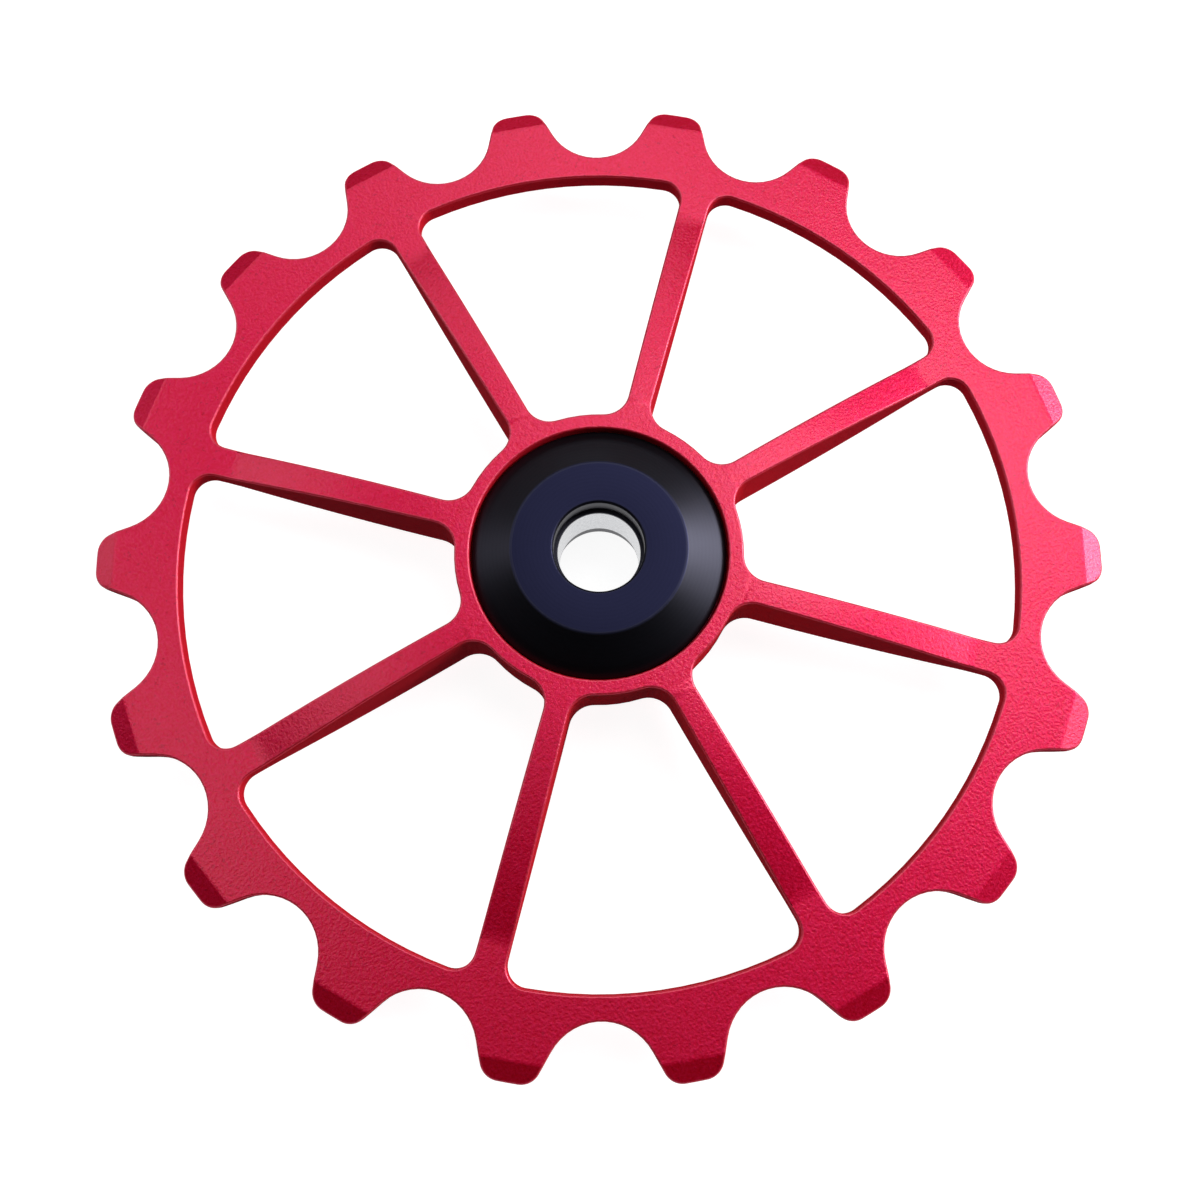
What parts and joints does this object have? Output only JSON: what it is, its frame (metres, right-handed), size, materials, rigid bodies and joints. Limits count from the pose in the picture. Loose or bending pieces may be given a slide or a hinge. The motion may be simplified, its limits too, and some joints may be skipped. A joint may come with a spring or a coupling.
{
  "type": "derailleur jockey wheel",
  "caption": "Toothed bicycle derailleur pulley with crowned spokes, bevelled tooth tips and a black-capped sealed bearing hub that guides the chain.",
  "frame": {"origin": "on the axle bore's axis, midway between the two cap faces", "axes": "+Z along the axle bore, out of the front cap; +X along a spoke that points at a tooth gap, +Y along one that points at a tooth"},
  "size_m": [0.0734, 0.0742, 0.008],
  "materials": {
    "wheel_red": "bead-blasted red anodised",
    "cap_black": "turned, black anodised",
    "bearing_steel": "ground bearing steel",
    "seal_rubber": "moulded black nitrile rubber",
    "retainer_nylon": "moulded natural nylon"
  },
  "bodies": {
    "axle_core": {"front_cap": "cap_black", "rear_cap": "cap_black", "bearing_inner_ring": "bearing_steel"},
    "wheel": {"pulley_wheel": "wheel_red", "bearing_outer_ring": "bearing_steel", "front_seal": "seal_rubber", "rear_seal": "seal_rubber"},
    "retainer": {"ball_retainer": "retainer_nylon"}
  },
  "joints": [
    {"name": "wheel_spin", "type": "hinge", "parent": "axle_core", "child": "wheel", "pos_m": [0, 0, 0], "axis": [0, 0, 1], "continuous": true},
    {"name": "retainer_spin", "type": "hinge", "parent": "axle_core", "child": "retainer", "pos_m": [0, 0, 0], "axis": [0, 0, 1], "continuous": true}
  ],
  "couplings": [
    {"joint": "retainer_spin", "follows": "wheel_spin", "ratio": 0.61111}
  ]
}
